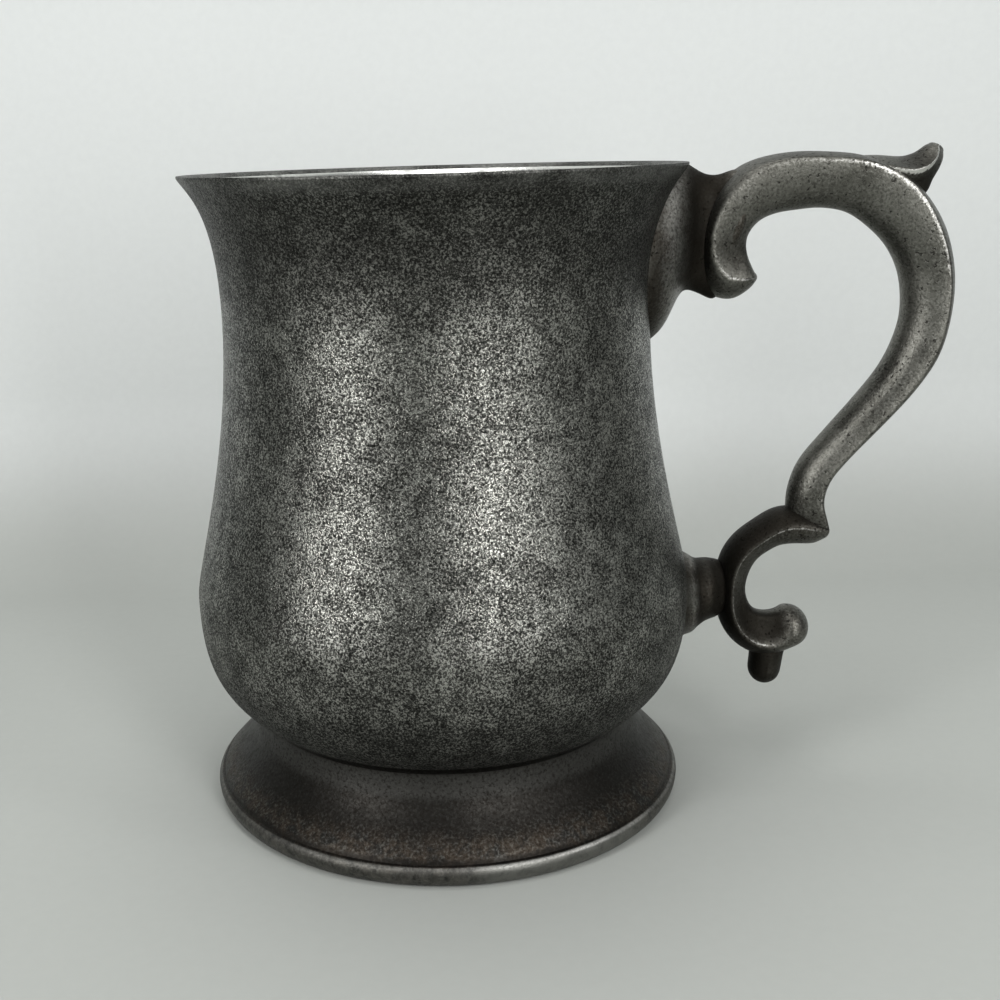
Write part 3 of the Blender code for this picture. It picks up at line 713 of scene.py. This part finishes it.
def stained_pewter(settings):
    """Smoother brownish pewter with fine grain and a bright worn edge, for the foot, with a painted sheen
    round the neck, painted shade on the upper slope and in the step, and a painted highlight on one side of
    the edge.
    """
    finish = Finish("stained_pewter")
    across, _, height = finish.parts()
    radius = finish.radius()
    grain = finish.noise(2000.0, 2.0, 0.6, 0.4)
    blotch = finish.noise(420.0, 3.0, 0.6, 0.5)
    cloud = finish.noise(45.0, 2.0, 0.5)
    spread = finish.step(radius, 39.5 * MM, 43.0 * MM)
    tone = finish.blend(spread * finish.step(blotch, 0.32, 0.68), settings.foot_dark, settings.foot_brown)
    # Painted sheen: a lighter band round the neck, between 12 and 18 mm up
    sheen = finish.step(height, 12.0 * MM, 14.0 * MM) * finish.step(height, 18.0 * MM, 16.0 * MM)
    # Painted shade: the slope above 8 mm, outside the sheen band, is darkened towards the grain's black
    shade = finish.step(height, 6.0 * MM, 8.0 * MM) * (1.0 - sheen)
    tone = finish.blend(shade * 0.4, tone, STAIN_AND_SHADE_BLACK)
    tone = finish.blend(sheen * (0.15 + cloud * 0.4), tone, SHEEN_GREY)
    tone = finish.blend(finish.step(grain, 0.50, 0.68) * (0.03 + spread * 0.09), tone, settings.metal_light)
    tone = finish.blend(finish.step(grain, 0.48, 0.34) * 0.6, tone, STAIN_AND_SHADE_BLACK)
    uneven = finish.step(cloud * 0.7 + blotch * 0.3, 0.44, 0.60)
    # Painted shade: a dark line in the step above the edge, broken up by the cloud noise
    groove = finish.step(height, 3.7 * MM, 4.1 * MM) * finish.step(radius, 43.9 * MM, 44.4 * MM)
    tone = finish.blend(groove * (0.8 - uneven * 0.45), tone, GROOVE_BLACK)
    edge = finish.step(height, 3.95 * MM, 3.75 * MM) * finish.step(radius, 44.2 * MM, 44.7 * MM)
    # Painted highlight: from the axis to 38 mm along +X the edge band and its bright line are lighter;
    # elsewhere the line is wear
    rub_and_highlight = finish.step(across, AXIS_X, AXIS_X + 10.0 * MM)
    rub_and_highlight = rub_and_highlight * finish.step(across, AXIS_X + 38.0 * MM, AXIS_X + 30.0 * MM)
    line = edge * finish.step(height, 3.2 * MM, 3.6 * MM)
    line = line * (0.06 + uneven * 0.2 + rub_and_highlight * (0.3 + uneven * 0.44))
    line = line * finish.step(grain, 0.32, 0.56, 0.5, 1.0)
    plain = 0.12 + finish.step(blotch, 0.3, 0.6) * 0.28 + rub_and_highlight * 0.5
    tone = finish.blend(edge * plain, tone, EDGE_GREY)
    tone = finish.blend(line * 0.7, tone, settings.edge_bright)
    rough = 0.46 + (blotch - 0.5) * 0.3 + sheen * 0.08 - line * 0.06 + finish.step(grain, 0.5, 0.3) * 0.1
    normal = finish.bump(grain * 0.8 + blotch * 0.5, 0.00006, 0.7)
    return finish.metal(tone, rough, normal)


def cast_pewter(name, settings, brown=0.0):
    """Cast pewter with fine grain, small pits and bright worn ridges, darkened by painted shade, for the
    handle and the lugs; on the lugs the wear mark paints highlights.
    """
    finish = Finish(name)
    ridge = finish.attribute("ridge")
    wear = finish.attribute("wear")
    grime = finish.attribute("grime")
    grain = finish.noise(2200.0, 2.0, 0.6, 0.3)
    blotch = finish.noise(520.0, 3.0, 0.6, 0.4)
    cloud = finish.noise(90.0, 3.0, 0.55, 0.3)
    pits = finish.step(finish.noise(1500.0, 1.0, 0.5) + (cloud - 0.5) * 0.25, 0.36, 0.29)
    tone = finish.blend(finish.step(cloud, 0.3, 0.7), settings.handle_dark, settings.handle_mid)
    if brown:
        stain = finish.step(finish.noise(160.0, 3.0, 0.6), 0.35, 0.6)
        tone = finish.blend(stain * brown, tone, settings.foot_brown)
    flecks = finish.step(grain * 0.7 + blotch * 0.3, 0.50, 0.64)
    tone = finish.blend(flecks * 0.22, tone, settings.metal_light)
    tone = finish.blend(finish.step(grain, 0.47, 0.36) * 0.42, tone, FLECK_BLACK)
    tone = finish.blend(pits * 0.7, tone, PIT_BLACK)
    # Painted shade: darkened towards brown by the painted shade mark, in hollows, valleys, under the curl
    # and on some backs
    shaded = finish.step(grime + (blotch - 0.5) * 0.4, 0.0, 0.9)
    tone = finish.blend(shaded * 0.92, tone, SHADE_BROWN)
    # Wear on the scrolls' ridges; on the lugs the same mark paints highlights on the upper pad's middle and
    # the lower lug's first rib
    exposed = ridge + wear * 0.2 + (blotch - 0.5) * 0.3 + (grain - 0.5) * 0.5
    worn = finish.step(exposed, 0.94, 1.22) * wear * finish.step(grain, 0.30, 0.55, 0.6, 1.0)
    tone = finish.blend(worn, tone, settings.edge_bright)
    rough = 0.40 + (cloud - 0.5) * 0.2 + pits * 0.2 + shaded * 0.2 - worn * 0.06
    normal = finish.bump(grain * 0.8 + blotch * 0.4 - pits * 0.5, 0.00009, 0.8)
    return finish.metal(tone, rough, normal)


# Settings

class TankardMetal(bpy.types.PropertyGroup):
    """Colours and grain of the pewter."""
    grain_size: FloatProperty(
        name="Grain Size", description="Width of one cell of the cup's grain",
        default=0.00036, min=0.0002, unit="LENGTH", precision=5)
    grain_depth: FloatProperty(
        name="Grain Depth", description="Height of the cup's grain",
        default=0.00012, min=0.0, unit="LENGTH", precision=5)
    metal_dark: FloatVectorProperty(
        name="Dark Patina", description="Darkest clouds of the cup's patina",
        default=(0.060, 0.060, 0.055), subtype="COLOR")
    metal_mid: FloatVectorProperty(
        name="Patina", description="Lighter clouds of the cup's patina",
        default=(0.100, 0.100, 0.092), subtype="COLOR")
    metal_light: FloatVectorProperty(
        name="Bright Flecks", description="Bare metal in the grain",
        default=(0.41, 0.41, 0.375), subtype="COLOR")
    handle_dark: FloatVectorProperty(
        name="Handle Dark", description="Darker clouds of the handle",
        default=(0.092, 0.090, 0.079), subtype="COLOR")
    handle_mid: FloatVectorProperty(
        name="Handle", description="Lighter clouds of the handle",
        default=(0.160, 0.157, 0.140), subtype="COLOR")
    foot_dark: FloatVectorProperty(
        name="Foot Dark", description="Dark parts of the foot",
        default=(0.027, 0.026, 0.024), subtype="COLOR")
    foot_brown: FloatVectorProperty(
        name="Foot Brown", description="Brown stains of the foot and the lugs",
        default=(0.052, 0.042, 0.033), subtype="COLOR")
    # Worn edges; the same colour paints highlights on the lugs and on one side of the foot's edge
    edge_bright: FloatVectorProperty(
        name="Worn Edges", description="Metal worn bright on edges and ridges",
        default=(0.66, 0.65, 0.62), subtype="COLOR")


class TankardStage(bpy.types.PropertyGroup):
    """Floor, backdrop and lights."""
    floor_colour: FloatVectorProperty(
        name="Floor", description="Colour of the floor",
        default=(0.43, 0.445, 0.42), subtype="COLOR")
    backdrop_colour: FloatVectorProperty(
        name="Backdrop", description="Colour of the backdrop",
        default=(0.74, 0.76, 0.75), subtype="COLOR")
    wall_distance: FloatProperty(
        name="Backdrop Distance", description="From the cup's axis to the backdrop",
        default=0.16, min=0.08, unit="LENGTH")
    world_light: FloatProperty(
        name="Surrounding Light", description="Strength of the even light all round",
        default=0.27, min=0.0)
    key_light: FloatProperty(
        name="Key Light", description="Power of the left softbox",
        default=1.25, min=0.0, unit="POWER")
    fill_light: FloatProperty(
        name="Fill Light", description="Power of the right softbox",
        default=1.28, min=0.0, unit="POWER")
    side_light: FloatProperty(
        name="Side Light", description="Power of the softbox at the handle's side",
        default=0.42, min=0.0, unit="POWER")
    top_light: FloatProperty(
        name="Top Light", description="Power of the softbox above the cup",
        default=1.55, min=0.0, unit="POWER")


# Pieces

class TANKARD_OT_cup(bpy.types.Operator):
    """Model the cup's wall: outside, rolled lip, inside and the turned-in flange"""
    bl_idname = "tankard.cup"
    bl_label = "Cup"

    def execute(self, context):
        outer = cup_outline()
        inner = [point for point in offset_line(outer, CUP_WALL)
                 if FLOOR_TOP + INNER_FLOOR_RISE < point.y < RIM_HEIGHT - INNER_LIP_DROP]
        lip = Vector((LIP_RADIUS - 0.25, RIM_HEIGHT))
        rounding = bezier(lip, lip + Vector((0.2, 0.0)), outer[0] + up(LIP_ROUNDING - 0.05),
                          outer[0] + up(0.4), 3)
        flat_end = lip - Vector((LIP_FLAT, 0.0))
        roll = bezier(inner[0], inner[0] + Vector((0.25, 0.45)), flat_end - Vector((0.4, 0.0)), flat_end, 5)
        outline = roll[1:] + rounding[1:] + outer
        outline += [Vector((FLANGE_RADIUS, SEAM_HEIGHT)), Vector((FLANGE_RADIUS, FLOOR_TOP + FLOOR_GAP))]
        bend = Vector((inner[-1].x - 1.1, FLOOR_TOP + FLOOR_GAP))
        outline += bezier(bend, bend + Vector((0.8, 0.0)), inner[-1] - up(0.7), inner[-1], 4)[:-1]
        outline += inner[::-1]
        outline.append(roll[1])
        piece = lathe("cup_wall", outline)
        smoothed(piece, 0, TURNED_ANGLE)
        settings = context.scene.tankard_metal
        piece.data.materials.append(grained_pewter(settings))
        piece.data.materials.append(polished_pewter("inner_pewter", INNER_GREY, 0.24))
        inside_materials(piece, inner)
        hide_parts("cup_body")
        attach(piece, "root")
        return {"FINISHED"}


def inside_materials(piece, inner):
    """Give the second material to the faces inside the cup and on the lip's top."""
    edit(piece)
    limit = {round(point.y, 1): point.x for point in inner}
    levels = sorted(limit)

    def inside(middle):
        height = middle.z / MM
        radius = math.hypot(middle.x - AXIS_X, middle.y) / MM
        if height > RIM_HEIGHT - 0.12:
            return False
        nearest = min(levels, key=lambda level: abs(level - height))
        return height > FLOOR_TOP and radius < limit[nearest] + 0.8
    pick(piece, inside, "faces")
    piece.active_material_index = 1
    bpy.ops.object.material_slot_assign()
    bpy.ops.object.mode_set(mode="OBJECT")


class TANKARD_OT_floor(bpy.types.Operator):
    """Model the cup's floor, a turned disc inside the flange"""
    bl_idname = "tankard.floor"
    bl_label = "Cup Floor"

    def execute(self, context):
        low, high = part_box("cup_floor")
        radius = (high.x - low.x) / 2 / MM
        top, bottom = high.z / MM, low.z / MM
        outline = [(DISC_HOLE, top)]
        for ring in (6.0, 12.0, 18.0, 24.0, 30.0):
            outline += [(ring - 0.5, top), (ring, top - 0.05), (ring + 0.5, top)]
        outline += [(radius - 0.5, top), (radius - 0.15, top - 0.1), (radius, top - 0.45), (radius, bottom)]
        outline += [(radius * 0.6, bottom), (DISC_HOLE, bottom)]
        piece = lathe("cup_floor_disc", outline, DISC_STEPS)
        edit(piece)
        for level in (high.z, low.z):
            pick(piece, lambda place: (math.hypot(place.x - AXIS_X, place.y) < DISC_HOLE * 2 * MM
                                       and abs(place.z - level) < CLOSE))
            bpy.ops.mesh.edge_face_add()
        close_up(piece, "cup_floor_disc")
        smoothed(piece, 0, TURNED_ANGLE)
        piece.data.materials.append(polished_pewter("floor_pewter", DISC_GREY, 0.38))
        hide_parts("cup_floor")
        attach(piece, "root")
        return {"FINISHED"}


class TANKARD_OT_foot(bpy.types.Operator):
    """Model the hollow foot: shoulder, neck, slope, rounded edge and the hollow under it"""
    bl_idname = "tankard.foot"
    bl_label = "Foot"

    def execute(self, context):
        neck = Vector((SEAM_RADIUS - 2.0, FOOT_TOP - 1.6))
        edge = Vector((FOOT_RADIUS - 0.7, FOOT_EDGE_HEIGHT))
        fall = neck.y - edge.y
        flare = Vector((neck.x - edge.x, fall)) * Vector((0.35, 0.3))
        slope = bezier(neck, neck - up(fall * 0.55), edge + flare, edge, 24)
        inside = [point for point in offset_line(slope, FOOT_WALL) if point.y < FOOT_TOP - 3.0][:-1]
        bulge = Vector((FOOT_RADIUS, FOOT_EDGE_HEIGHT * 0.68))
        heel = Vector((FOOT_RADIUS - 1.6, 0.0))
        outline = [Vector((SEAM_RADIUS - 1.0, FOOT_TOP))] + slope[:-2]
        outline += [edge - Vector((0.62, -0.62)), edge - Vector((0.5, -0.3)), edge - Vector((0.36, -0.22))]
        outline += bezier(edge - Vector((0.2, -0.2)), edge + Vector((0.45, -0.1)),
                          bulge + up(0.5), bulge, 6)
        outline += bezier(bulge, bulge - up(1.1), heel + Vector((0.9, 0.3)), heel, 6)[1:]
        outline.append(heel - Vector((1.4, 0.0)))
        outline += inside[::-1]
        outline += [(LEDGE_RADIUS, FOOT_TOP - 3.0), (LEDGE_RADIUS, FOOT_TOP), outline[0]]
        piece = lathe("foot", outline)
        smoothed(piece, 0, TURNED_ANGLE)
        piece.data.materials.append(stained_pewter(context.scene.tankard_metal))
        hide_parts("foot_ring")
        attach(piece, "root")
        return {"FINISHED"}


class TANKARD_OT_lugs(bpy.types.Operator):
    """Model the two cast lugs that carry the handle, each seated on the cup's wall"""
    bl_idname = "tankard.lugs"
    bl_label = "Lugs"

    def execute(self, context):
        finish = cast_pewter("lug_pewter", context.scene.tankard_metal, 0.7)
        upper = [(THROAT_RADIUS + out, UPPER_SEAT.y + (top + bottom) / 2, (top - bottom) / 2, *rest)
                 for out, top, bottom, *rest in UPPER_LUG_STATIONS]
        wall = LOWER_SEAT.x - LOWER_LUG_LENGTH
        lower = [(wall + out, LOWER_SEAT.y + rise, *rest) for out, rise, *rest in LOWER_LUG_STATIONS]
        for name, node, rings in (("upper_lug_casting", "upper_lug", upper),
                                  ("lower_lug_casting", "lower_lug", lower)):
            piece = lug(name, rings)
            piece.data.materials.append(finish)
            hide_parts(node)
            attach(piece, "root")
        return {"FINISHED"}


def lug(name, rings):
    """A lug: an upright ring in the wall, extruded outwards, then cut to the cup's wall."""
    deselect_all()
    bpy.ops.mesh.primitive_circle_add(vertices=LUG_STEPS, radius=1.0, fill_type="NGON",
                                      rotation=(0.0, math.pi / 2, 0.0))
    piece = bpy.context.object
    edit(piece)
    bpy.ops.mesh.select_all(action="SELECT")
    place, tall, half = Vector((0.0, 0.0, 0.0)), 1.0, 1.0
    for index, (out, height, half_height, half_width, *_) in enumerate(rings):
        new_place = Vector((AXIS_X + out * MM, 0.0, height * MM))
        new_tall, new_half = half_height * MM, half_width * MM
        if index:
            bpy.ops.mesh.extrude_region_move(TRANSFORM_OT_translate={"value": new_place - place})
        else:
            bpy.ops.transform.translate(value=new_place)
        bpy.ops.transform.resize(value=(1.0, new_half / half, new_tall / tall), center_override=new_place)
        place, tall, half = new_place, new_tall, new_half
    # Marks from the stations' last two numbers: a painted highlight through the wear mark, and painted
    # shade
    for mask, column in (("wear", -2), ("grime", -1)):
        mark(piece, mask, [ring[column] for ring in rings for _ in range(LUG_STEPS)])
    mark(piece, "ridge", [LUG_RIDGE] * len(rings) * LUG_STEPS)
    close_up(piece, name)
    smoothed(piece, FINER_LEVELS, LUG_ANGLE)
    outline = [point - Vector((SEAT_DEPTH, 0.0)) for point in cup_outline()]
    outline = [outline[0] + up(6.0)] + outline + [outline[-1] - up(3.0)]
    cutter = lathe("wall_cutter", outline)
    edit(cutter)
    for end in (outline[0], outline[-1]):
        pick(cutter, lambda place: abs(place.z - end.y * MM) < CLOSE)
        bpy.ops.mesh.edge_face_add()
    close_up(cutter, "wall_cutter")
    choose(piece)
    trim = piece.modifiers.new("trim", "BOOLEAN")
    trim.object = cutter
    bpy.ops.object.modifier_apply(modifier=trim.name)
    bpy.data.objects.remove(cutter)
    edit(piece)
    close_up(piece, name)
    smoothed(piece, 0, LUG_ANGLE)
    return piece


class TANKARD_OT_upper_scroll(bpy.types.Operator):
    """Model the S scroll with its curled end and worn ridges"""
    bl_idname = "tankard.upper_scroll"
    bl_label = "Upper Scroll"

    def execute(self, context):
        stations = placed(UPPER_STATIONS, UPPER_SEAT) + placed(MIDDLE_STATIONS, LOWER_SEAT)
        piece = sweep("upper_scroll", domed(smooth_path(stations), -0.3, 0.0))
        piece.data.materials.append(cast_pewter("upper_scroll_pewter", context.scene.tankard_metal))
        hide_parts("handle_scroll")
        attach(piece, "root")
        return {"FINISHED"}


class TANKARD_OT_spur(bpy.types.Operator):
    """Model the leaf-shaped thumb spur on the scroll's top"""
    bl_idname = "tankard.spur"
    bl_label = "Thumb Spur"

    def execute(self, context):
        path = domed(smooth_path(placed(SPUR_STATIONS, UPPER_SEAT)), 0.0, 0.7)
        piece = sweep("thumb_leaf", path)
        piece.data.materials.append(cast_pewter("spur_pewter", context.scene.tankard_metal))
        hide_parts("thumb_spur")
        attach(piece, "root")
        return {"FINISHED"}


class TANKARD_OT_lower_scroll(bpy.types.Operator):
    """Model the C scroll with its rounded end, and the tail that hangs under it"""
    bl_idname = "tankard.lower_scroll"
    bl_label = "Lower Scroll and Tail"

    def execute(self, context):
        finish = cast_pewter("lower_scroll_pewter", context.scene.tankard_metal, 0.3)
        scroll = domed(smooth_path(placed(LOWER_STATIONS, LOWER_SEAT)), 0.6, -3.8)
        tail = domed(smooth_path(placed(TAIL_STATIONS, LOWER_SEAT)), 0.0, -3.2)
        for name, node, path in (("c_scroll", "lower_scroll", scroll), ("tail", "scroll_tail", tail)):
            piece = sweep(name, path)
            piece.data.materials.append(finish)
            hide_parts(node)
            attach(piece, "root")
        return {"FINISHED"}


class TANKARD_OT_stage(bpy.types.Operator):
    """Set up the floor with its curved backdrop, the softboxes, the world and the camera"""
    bl_idname = "tankard.stage"
    bl_label = "Stage"

    def execute(self, context):
        settings = context.scene.tankard_stage
        stage_floor(settings)
        for name, place, width, height, light in SOFTBOXES:
            softbox(name, place, width, height, getattr(settings, light))
        world = bpy.data.worlds.new("studio")
        world.use_nodes = True
        background = world.node_tree.nodes["Background"]
        background.inputs["Color"].default_value = WORLD_COLOUR
        background.inputs["Strength"].default_value = settings.world_light
        context.scene.world = world
        context.scene.view_settings.view_transform = "Standard"
        place_camera(context)
        return {"FINISHED"}


def stage_floor(settings):
    """A floor whose far side is extruded up into a backdrop, with the bend rounded.

    The sheet is one-sided: from its back it is see-through, so that a view from
    behind the backdrop shows the tankard.
    """
    deselect_all()
    far = FLOOR_SIZE / 2
    middle_y = settings.wall_distance - far
    bpy.ops.mesh.primitive_plane_add(size=FLOOR_SIZE, location=(0.0, middle_y, -FLOOR_DROP))
    floor = bpy.context.object
    edit(floor)
    pick(floor, lambda middle: middle.y > far - 0.01, "edges")
    bpy.ops.mesh.extrude_region_move(TRANSFORM_OT_translate={"value": (0.0, 0.0, BACKDROP_HEIGHT)})
    pick(floor, lambda middle: middle.y > far - 0.01 and abs(middle.z) < 0.001, "edges")
    bpy.ops.mesh.bevel(offset=BACKDROP_BEND, segments=16, profile=0.5)
    close_up(floor, "studio_floor")
    edit(floor)
    bpy.ops.mesh.select_all(action="SELECT")
    bpy.ops.mesh.flip_normals()
    bpy.ops.object.mode_set(mode="OBJECT")
    bpy.ops.object.shade_smooth()
    finish = Finish("studio_paper")
    speck = finish.noise(400.0, 3.0, 0.6)
    rise = finish.step(finish.parts()[2], 0.0, BACKDROP_BEND)
    tone = finish.blend(rise, settings.floor_colour, settings.backdrop_colour)
    tone = finish.blend(finish.step(speck, 0.3, 0.7, 0.0, 0.03), tone, (0.2, 0.2, 0.2))
    finish.metal(tone, 0.75, metallic=0.0)
    behind = finish.node("NewGeometry", output="Backfacing")
    finish.feed(finish.shader.inputs["Alpha"], 1.0 - behind)
    floor.data.materials.append(finish.material)


def softbox(name, place, width, height, power):
    """A lamp at a place in metres from the cup's axis, aimed at the cup's middle."""
    lamp = bpy.data.lights.new(name, "AREA")
    lamp.shape = "RECTANGLE"
    lamp.size = width
    lamp.size_y = height
    lamp.energy = power
    holder = bpy.data.objects.new(name, lamp)
    bpy.context.scene.collection.objects.link(holder)
    holder.location = Vector((AXIS_X, 0.0, 0.0)) + Vector(place)
    aim = Vector((AXIS_X, 0.0, AIM_HEIGHT)) - holder.location
    holder.rotation_euler = aim.to_track_quat("-Z", "Y").to_euler()


def place_camera(context):
    """The camera in front of the tankard, with the handle to its right."""
    level_share = math.cos(CAMERA_DIP)
    ahead = Vector((math.sin(CAMERA_TURN) * level_share, math.cos(CAMERA_TURN) * level_share,
                    -math.sin(CAMERA_DIP)))
    level = Vector((math.cos(CAMERA_TURN), -math.sin(CAMERA_TURN), 0.0))
    above = level.cross(ahead)
    right = level * math.cos(CAMERA_ROLL) + above * math.sin(CAMERA_ROLL)
    top = above * math.cos(CAMERA_ROLL) - level * math.sin(CAMERA_ROLL)
    lens = bpy.data.cameras.new("camera")
    lens.sensor_fit = "HORIZONTAL"
    lens.sensor_width = 36.0
    lens.lens = CAMERA_LENS
    lens.shift_x = CAMERA_SHIFT
    lens.clip_start = 0.01
    camera = bpy.data.objects.new("camera", lens)
    context.scene.collection.objects.link(camera)
    turn = Matrix((right, top, -ahead)).transposed().to_4x4()
    camera.matrix_world = Matrix.Translation(Vector((AXIS_X, 0.0, 0.0)) + CAMERA_PLACE * MM) @ turn
    context.scene.camera = camera


class TANKARD_PT_panel(bpy.types.Panel):
    """Lists the tankard's pieces and settings"""
    bl_label = "Tankard"
    bl_idname = "TANKARD_PT_panel"
    bl_space_type = "VIEW_3D"
    bl_region_type = "UI"
    bl_category = "Tankard"

    def draw(self, context):
        for operator in OPERATORS:
            self.layout.operator(operator.bl_idname)
        for settings in (context.scene.tankard_metal, context.scene.tankard_stage):
            for name in settings.bl_rna.properties.keys():
                if name not in ("rna_type", "name"):
                    self.layout.prop(settings, name)


OPERATORS = (TANKARD_OT_cup, TANKARD_OT_floor, TANKARD_OT_foot, TANKARD_OT_lugs, TANKARD_OT_upper_scroll,
             TANKARD_OT_spur, TANKARD_OT_lower_scroll, TANKARD_OT_stage)
CLASSES = (TankardMetal, TankardStage) + OPERATORS + (TANKARD_PT_panel,)


def register():
    for kind in CLASSES:
        bpy.utils.register_class(kind)
    bpy.types.Scene.tankard_metal = PointerProperty(type=TankardMetal)
    bpy.types.Scene.tankard_stage = PointerProperty(type=TankardStage)


def unregister():
    del bpy.types.Scene.tankard_stage
    del bpy.types.Scene.tankard_metal
    for kind in reversed(CLASSES):
        bpy.utils.unregister_class(kind)


def main():
    register()
    for operator in OPERATORS:
        group, name = operator.bl_idname.split(".")
        getattr(getattr(bpy.ops, group), name)()


if __name__ == "__main__":
    main()
